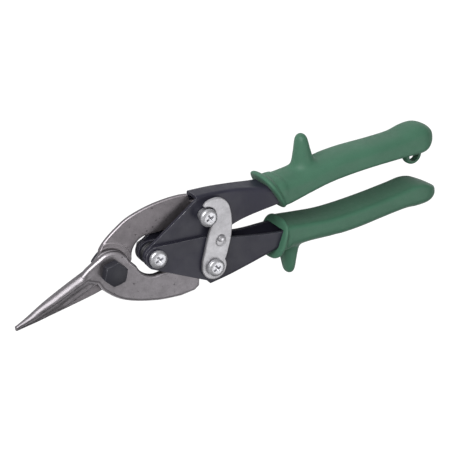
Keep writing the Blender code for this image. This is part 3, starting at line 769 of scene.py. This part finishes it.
def steel_look(name, colour, rough, grain, pits, polished_with_painted_highlight=False):
    """Bare steel: broad tone changes, fine grain, small pits and worn edges, fading on polished jaws; on
    the blades also a painted highlight on the rounded rims and the jaw ridges.
    """
    look = Look(name, metallic=0.8)
    raw = 1.0
    if polished_with_painted_highlight:
        along = look.node("ShaderNodeSeparateXYZ", Vector=look.coords).outputs["X"]
        raw = look.ranged(along, ORIGIN.x - 0.019, ORIGIN.x - 0.009, 0.12, 1.0)
    broad = look.noise(55.0, 4.0)
    fine = look.noise(grain, 5.0)
    mottle = look.noise(260.0, 6.0, rough=0.68)
    tone = look.maths("ADD", look.maths("MULTIPLY", broad, 0.25), look.maths("MULTIPLY", fine, 0.3))
    tone = look.maths("ADD", tone, look.maths("MULTIPLY", mottle, 0.45))
    base = look.mix(look.ranged(tone, 0.38, 0.62, 0.0, 1.0), shade(colour, 0.76), shade(colour, 1.2))
    pitting = look.ranged(look.noise(620.0, 2.0), 0.67, 0.73, 0.0, pits)
    speck = look.maths("MULTIPLY", pitting, raw)
    base = look.mix(speck, base, shade(colour, 0.25))
    edge, rounded = look.edges(0.0004)
    worn = look.maths("MULTIPLY", edge, look.ranged(look.noise(240.0), 0.3, 0.6, 0.15, 0.5))
    base = look.mix(look.maths("MULTIPLY", worn, raw), base, shade(colour, 1.5))
    # Painted highlight: faces leaning between flat and upright, the rounded rims and the jaw's ridge
    # slopes, are painted up to 2.8 times brighter. This stands in for the light they catch, and is weaker
    # on the jaws.
    if polished_with_painted_highlight:
        normal = look.node("ShaderNodeNewGeometry").outputs["Normal"]
        up = look.node("ShaderNodeSeparateXYZ", Vector=normal).outputs["Z"]
        lean = look.maths("ABSOLUTE", up, 0.0)
        off_flat = look.ranged(lean, 0.98, 0.9, 0.0, 1.0)
        off_wall = look.ranged(lean, 0.3, 0.55, 0.0, 1.0)
        rim = look.maths("MULTIPLY", off_flat, off_wall)
        rim = look.maths("MULTIPLY", rim, look.ranged(raw, 0.12, 1.0, 0.2, 1.0))
        base = look.mix(rim, base, shade(colour, 2.8))
    look.set("Base Color", base)
    look.set("Roughness", look.ranged(fine, 0.3, 0.7, rough - 0.06, rough + 0.09))
    height = look.maths("SUBTRACT", fine, speck)
    look.bump(height, look.maths("MULTIPLY", 0.3, raw), 0.00012, None if polished_with_painted_highlight else rounded)
    return look.material


def paint_look(name, colour, rough):
    """Black enamel with an orange peel surface, dusty broad tones, a painted highlight of lighter grey
    along every sharp edge, and metal showing where the edges are chipped.
    """
    look = Look(name, specular=0.36)
    broad = look.noise(38.0, 5.0)
    peel = look.noise(950.0, 2.0)
    base = look.mix(look.ranged(broad, 0.3, 0.7, 0.0, 1.0), shade(colour, 0.84), shade(colour, 1.2))
    edge, rounded = look.edges(0.0005)
    # Painted highlight: every sharp edge is lightened towards grey, standing in for the light that the
    # enamel's edges catch.
    base = look.mix(look.maths("MULTIPLY", edge, 0.6), base, (0.15, 0.15, 0.17, 1.0))
    chips = look.ranged(look.noise(420.0, 4.0), 0.5, 0.62, 0.0, 1.0)
    worn = look.maths("MULTIPLY", edge, look.maths("MULTIPLY", chips, 0.6))
    look.set("Base Color", look.mix(worn, base, (0.42, 0.42, 0.45, 1.0)))
    look.set("Metallic", worn)
    look.set("Roughness", look.ranged(look.noise(160.0, 5.0), 0.3, 0.7, rough - 0.06, rough + 0.1))
    look.bump(peel, 0.12, 0.0001, rounded)
    return look.material


def vinyl_look(name, colour):
    """Moulded vinyl: a fine matt grain, slight clouding and a soft sheen."""
    look = Look(name, specular=0.42)
    broad = look.noise(45.0, 4.0)
    grain = look.noise(1500.0, 3.0)
    tone = look.maths("ADD", look.maths("MULTIPLY", broad, 0.7), look.maths("MULTIPLY", grain, 0.3))
    cloud = look.ranged(tone, 0.35, 0.65, 0.0, 1.0)
    look.set("Base Color", look.mix(cloud, shade(colour, 0.9), shade(colour, 1.1)))
    look.set("Roughness", look.ranged(look.noise(300.0, 4.0), 0.3, 0.7, 0.44, 0.58))
    look.shader.inputs["Sheen Weight"].default_value = 0.08
    look.shader.inputs["Sheen Roughness"].default_value = 0.5
    look.bump(grain, 0.16, 0.00012)
    return look.material


def plate_look(name, colour, rough):
    """Bright zinc plate with faint crystalline tone changes and fine scratches."""
    look = Look(name, metallic=0.7)
    cells = look.node("ShaderNodeTexVoronoi", Vector=look.coords, Scale=900.0).outputs["Color"]
    tone = look.ranged(look.node("ShaderNodeRGBToBW", Color=cells).outputs["Val"], 0.0, 1.0, 0.0, 1.0)
    look.set("Base Color", look.mix(tone, shade(colour, 0.88), shade(colour, 1.08)))
    scratch = look.noise(700.0, 4.0, (1.0, 9.0, 1.0))
    look.set("Roughness", look.ranged(scratch, 0.3, 0.7, rough - 0.05, rough + 0.12))
    _, rounded = look.edges(0.00025)
    look.bump(scratch, 0.1, 0.00006, rounded)
    return look.material


# Stage


def lamp(name, place, aim, size, power):
    """A soft rectangular lamp that looks from its place towards aim."""
    light = bpy.data.lights.new(name, "AREA")
    light.shape = "RECTANGLE"
    light.size, light.size_y = size
    light.energy = power
    obj = bpy.data.objects.new(name, light)
    obj.location = place
    obj.rotation_euler = (Vector(aim) - Vector(place)).to_track_quat("-Z", "Y").to_euler()
    bpy.context.scene.collection.objects.link(obj)


WHITE = (1.0, 1.0, 1.0, 1.0)
GLOW = 1.15


def floor():
    """A pale matt floor that mostly glows white where the camera sees it."""
    bm = bmesh.new()
    bmesh.ops.create_grid(bm, x_segments=8, y_segments=8, size=6.0)
    mesh = bpy.data.meshes.new("floor")
    bm.to_mesh(mesh)
    bm.free()
    made = bpy.data.materials.new("pale_floor")
    made.use_nodes = True
    tree = made.node_tree
    shader = tree.nodes["Principled BSDF"]
    shader.inputs["Base Color"].default_value = (0.82, 0.82, 0.83, 1.0)
    shader.inputs["Roughness"].default_value = 0.9
    glow = tree.nodes.new("ShaderNodeEmission")
    glow.inputs["Strength"].default_value = GLOW
    path = tree.nodes.new("ShaderNodeLightPath")
    share = tree.nodes.new("ShaderNodeMath")
    share.operation = "MULTIPLY"
    share.inputs[1].default_value = 0.9
    mix = tree.nodes.new("ShaderNodeMixShader")
    tree.links.new(path.outputs["Is Camera Ray"], share.inputs[0])
    tree.links.new(share.outputs[0], mix.inputs[0])
    tree.links.new(shader.outputs[0], mix.inputs[1])
    tree.links.new(glow.outputs[0], mix.inputs[2])
    tree.links.new(mix.outputs[0], tree.nodes["Material Output"].inputs["Surface"])
    mesh.materials.append(made)
    obj = bpy.data.objects.new("floor", mesh)
    bpy.context.scene.collection.objects.link(obj)


def sky():
    """A soft white surround, brightest on the side of the jaws' spines."""
    world = bpy.data.worlds.new("studio")
    world.use_nodes = True
    bpy.context.scene.world = world
    tree = world.node_tree
    back = tree.nodes["Background"]
    back.inputs["Color"].default_value = WHITE
    coords = tree.nodes.new("ShaderNodeTexCoord")
    facing = tree.nodes.new("ShaderNodeVectorMath")
    facing.operation = "DOT_PRODUCT"
    facing.inputs[1].default_value = Vector((-0.55, 0.45, 0.70)).normalized()
    ramp = tree.nodes.new("ShaderNodeMapRange")
    ramp.interpolation_type = "SMOOTHSTEP"
    settings = {"From Min": -0.3, "From Max": 1.0, "To Min": 0.03, "To Max": 0.46}
    for name, number in settings.items():
        ramp.inputs[name].default_value = number
    tree.links.new(coords.outputs["Generated"], facing.inputs[0])
    tree.links.new(facing.outputs["Value"], ramp.inputs["Value"])
    white = tree.nodes.new("ShaderNodeBackground")
    white.inputs["Color"].default_value = WHITE
    white.inputs["Strength"].default_value = GLOW
    path = tree.nodes.new("ShaderNodeLightPath")
    mix = tree.nodes.new("ShaderNodeMixShader")
    tree.links.new(ramp.outputs["Result"], back.inputs["Strength"])
    tree.links.new(path.outputs["Is Camera Ray"], mix.inputs[0])
    tree.links.new(back.outputs[0], mix.inputs[1])
    tree.links.new(white.outputs[0], mix.inputs[2])
    tree.links.new(mix.outputs[0], tree.nodes["World Output"].inputs["Surface"])


def camera():
    """The camera, above the jaws and tilted to see down the handles."""
    data = bpy.data.cameras.new("camera")
    data.lens = 80.58
    data.clip_start = 0.01
    obj = bpy.data.objects.new("camera", data)
    obj.location = (-0.2032, 0.22598, 0.44777)
    obj.rotation_euler = (-0.3771, -0.4795, -0.1433)
    bpy.context.scene.collection.objects.link(obj)
    bpy.context.scene.camera = obj


def build():
    """Every piece, with its finish, in place of the nodes that it stands for, and on its own body but for
    the spring wire, which stays loose.
    """
    blade = steel_look("forged_steel", (0.213, 0.200, 0.213), 0.36, 1400.0, 0.85, polished_with_painted_highlight=True)
    # Painted shade: the far blade gets a darker copy of the same blade steel, standing in for the shade
    # that falls on it.
    far_steel_painted_shade = steel_look("forged_steel_painted_shade", (0.190, 0.175, 0.186), 0.4, 1400.0, 0.85, polished_with_painted_highlight=True)
    latch_steel = steel_look("latch_sheet", (0.505, 0.498, 0.52), 0.42, 1600.0, 0.15)
    spring_steel = steel_look("spring_wire", (0.05, 0.05, 0.055), 0.42, 1800.0, 0.1)
    enamel = paint_look("black_enamel", (0.028, 0.0272, 0.042), 0.36)
    oxide = paint_look("black_oxide_finish", (0.025, 0.025, 0.033), 0.42)
    vinyl = vinyl_look("green_vinyl_grip", (0.058, 0.168, 0.104))
    zinc = plate_look("zinc_finish", (0.62, 0.62, 0.65), 0.24)

    near = near_blade()
    piece("near_blade_forging", near, "near_blade", blade, "blade_steel", "near_blade", crease=75)
    far = far_blade()
    piece("far_blade_forging", far, "far_blade", far_steel_painted_shade, "blade_steel", "far_blade", crease=75)
    piece("jaw_bolt_hex", jaw_bolt(), "near_blade", oxide, "black_oxide", "jaw_bolt")
    jaw_nut = nut(BOLT_FLATS, 40.0, -10.2, -BLADE_TOP - 1.8, JAW, BOLT_BORE)
    piece("jaw_nut_hex", jaw_nut, "near_blade", oxide, "black_oxide", "jaw_nut")

    upper = channel()
    piece("upper_handle_stamping", upper, "upper_handle", enamel, "black_paint", "upper_handle")
    lower = turned_over(channel())
    piece("lower_handle_stamping", lower, "lower_handle", enamel, "black_paint", "lower_handle")
    upper = grip(UPPER_GUARD_TIP, 115.6, 8.4, ROUND_END, True)
    piece("upper_grip_moulding", upper, "upper_handle", vinyl, "green_vinyl", "upper_grip", crease=60)
    lower = turned_over(grip(LOWER_GUARD_TIP, 102.4, 8.0, CUT_END, False))
    piece("lower_grip_moulding", lower, "lower_handle", vinyl, "green_vinyl", "lower_grip", crease=60)

    outer_seat = -OUTER_WALL - SHEET - FIT
    inner_seat = -INNER_WALL - SHEET - FIT
    fasteners = [
        ("handle_pivot", HANDLE, "lower_handle", HEAD_SEAT + 0.2, outer_seat, 12.0),
        ("upper_tang", UPPER_TANG, "upper_handle", TOP_SEAT + 0.2, outer_seat, 25.0),
        ("lower_tang", LOWER_TANG, "lower_handle", TOP_SEAT + 0.2, inner_seat, 50.0),
    ]
    for name, centre, body, head, seat, turn in fasteners:
        screw = pan_screw(centre, head, seat - NUT_TALL - 0.8)
        piece(name + "_screw_fine", screw, body, zinc, "zinc_plate", name + "_screw")
        hexagon = nut(PIN_FLATS, turn, seat - NUT_TALL, seat, centre, PIN_BORE)
        piece(name + "_nut_fine", hexagon, body, zinc, "zinc_plate", name + "_nut")
    piece("latch_hook", latch(), "latch", latch_steel, "latch_steel", "latch_plate", crease=75)

    coil = wire(spring_path(), WIRE, 20)
    spring = piece("torsion_spring_wire", coil, None, spring_steel, "spring_steel")
    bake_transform(spring)
    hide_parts("torsion_spring")

    # The spring bush takes the black finish rather than zinc, which darkens it between the handle ears.
    for name in ("jaw_washer", "spring_bush", "upper_tang_spacer", "lower_tang_spacer", "latch_collar"):
        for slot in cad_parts[name].material_slots:
            slot.material = oxide if name == "spring_bush" else zinc


build()
floor()
sky()
lamp("key", (-0.55, 0.80, 0.60), (0, 0, 0), (0.9, 0.9), 10.0)
lamp("fill", (0.7, -0.6, 1.3), (0, 0, 0), (1.2, 1.2), 7.0)
camera()
bpy.context.scene.view_settings.view_transform = "Standard"
